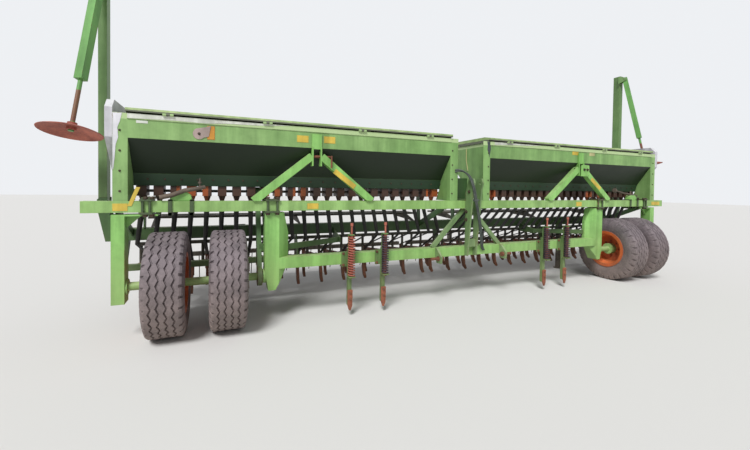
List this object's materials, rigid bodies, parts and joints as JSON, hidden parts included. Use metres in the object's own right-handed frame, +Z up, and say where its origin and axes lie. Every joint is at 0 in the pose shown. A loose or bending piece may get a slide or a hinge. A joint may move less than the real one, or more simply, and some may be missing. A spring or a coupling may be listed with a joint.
{
  "type": "seed drill",
  "caption": "Wide mechanical seed drill with twin hoppers, twin wheels at each end, hanging coulters, harrow, wheel mark tines and folded row markers.",
  "frame": {"origin": "on the floor, under the middle of the drill's bounding box", "axes": "+X along the working width towards the right-hand end seen from the front, +Y to the rear, +Z up"},
  "size_m": [7.0188, 1.9221, 2.82],
  "materials": {
    "paint_green": "faded satin",
    "paint_pale": "faded satin",
    "paint_dark": "dull",
    "paint_orange": "satin",
    "rusty_steel": "rusty",
    "worn_steel": "dull",
    "black_hose": "matt",
    "tyre_rubber": "matt",
    "white_cover": "weathered",
    "orange_unit": "matt"
  },
  "bodies": {
    "frame": {"front_beam": "paint_pale", "rear_beam": "paint_dark", "lower_beam": "paint_green", "frame_struts": "paint_dark", "inner_legs": "paint_green", "outer_legs": "paint_green", "beam_clamps": "paint_dark", "headstock": "paint_pale", "hitch_pins": "rusty_steel", "hopper_left": "paint_green", "hopper_right": "paint_green", "end_covers": "white_cover", "front_braces": "paint_green", "brace_pins": "rusty_steel", "metering_units": "orange_unit", "feed_shafts": "worn_steel", "seed_tubes": "black_hose", "drive_case": "paint_dark", "coulter_rail": "paint_dark", "coulters": "rusty_steel", "coulter_springs": "worn_steel", "harrow": "worn_steel", "loading_board": "worn_steel", "mark_carriers": "paint_green", "mark_springs": "rusty_steel", "mark_points": "rusty_steel", "marker_bases": "paint_dark", "hoses": "black_hose", "end_fittings": "rusty_steel"},
    "lid_left": {"lid_left": "paint_pale"},
    "wheels_left": {"axle_left": "paint_green", "rims_left": "paint_orange", "tyres_left": "tyre_rubber"},
    "marker_post_left": {"marker_post_left": "paint_green"},
    "marker_arm_left": {"marker_arm_left": "paint_green"},
    "marker_disc_left": {"marker_disc_left": "rusty_steel"},
    "stand_left": {"stand_left": "worn_steel"},
    "lid_right": {"lid_right": "paint_pale"},
    "wheels_right": {"axle_right": "paint_green", "rims_right": "paint_orange", "tyres_right": "tyre_rubber"},
    "marker_post_right": {"marker_post_right": "paint_green"},
    "marker_arm_right": {"marker_arm_right": "paint_green"},
    "marker_disc_right": {"marker_disc_right": "rusty_steel"},
    "stand_right": {"stand_right": "worn_steel"}
  },
  "joints": [
    {"name": "lid_left_hinge", "type": "hinge", "parent": "frame", "child": "lid_left", "pos_m": [-1.5775, -0.65814, 1.605], "axis": [1, 0, 0], "range_deg": [0, 95]},
    {"name": "wheels_left_spin", "type": "hinge", "parent": "frame", "child": "wheels_left", "pos_m": [-2.465, -0.58114, 0.38], "axis": [1, 0, 0], "continuous": true},
    {"name": "marker_post_left_fold", "type": "hinge", "parent": "frame", "child": "marker_post_left", "pos_m": [-3.2, 0.00886, 0.96], "axis": [0, -1, 0], "range_deg": [0, 100]},
    {"name": "marker_arm_left_swing", "type": "hinge", "parent": "marker_post_left", "child": "marker_arm_left", "pos_m": [-3.2, -0.09214, 2.76], "axis": [-0.9119, 0.4104, 0], "range_deg": [0, 167]},
    {"name": "marker_disc_left_spin", "type": "hinge", "parent": "marker_arm_left", "child": "marker_disc_left", "pos_m": [-3.3115, -0.33991, 1.52114], "axis": [-0.0879, -0.1954, -0.9768], "continuous": true},
    {"name": "stand_left_slide", "type": "slide", "parent": "frame", "child": "stand_left", "axis": [0, 0, 1], "range_m": [0, 0.3]},
    {"name": "lid_right_hinge", "type": "hinge", "parent": "frame", "child": "lid_right", "pos_m": [1.5775, -0.65814, 1.605], "axis": [1, 0, 0], "range_deg": [0, 95]},
    {"name": "wheels_right_spin", "type": "hinge", "parent": "frame", "child": "wheels_right", "pos_m": [2.465, -0.58114, 0.38], "axis": [1, 0, 0], "continuous": true},
    {"name": "marker_post_right_fold", "type": "hinge", "parent": "frame", "child": "marker_post_right", "pos_m": [3.2, 0.00886, 0.96], "axis": [0, 1, 0], "range_deg": [0, 100]},
    {"name": "marker_arm_right_swing", "type": "hinge", "parent": "marker_post_right", "child": "marker_arm_right", "pos_m": [3.2, -0.09214, 2.76], "axis": [-0.9119, -0.4104, 0], "range_deg": [0, 167]},
    {"name": "marker_disc_right_spin", "type": "hinge", "parent": "marker_arm_right", "child": "marker_disc_right", "pos_m": [3.3115, -0.33991, 1.52114], "axis": [0.0879, -0.1954, -0.9768], "continuous": true},
    {"name": "stand_right_slide", "type": "slide", "parent": "frame", "child": "stand_right", "axis": [0, 0, 1], "range_m": [0, 0.3]}
  ]
}
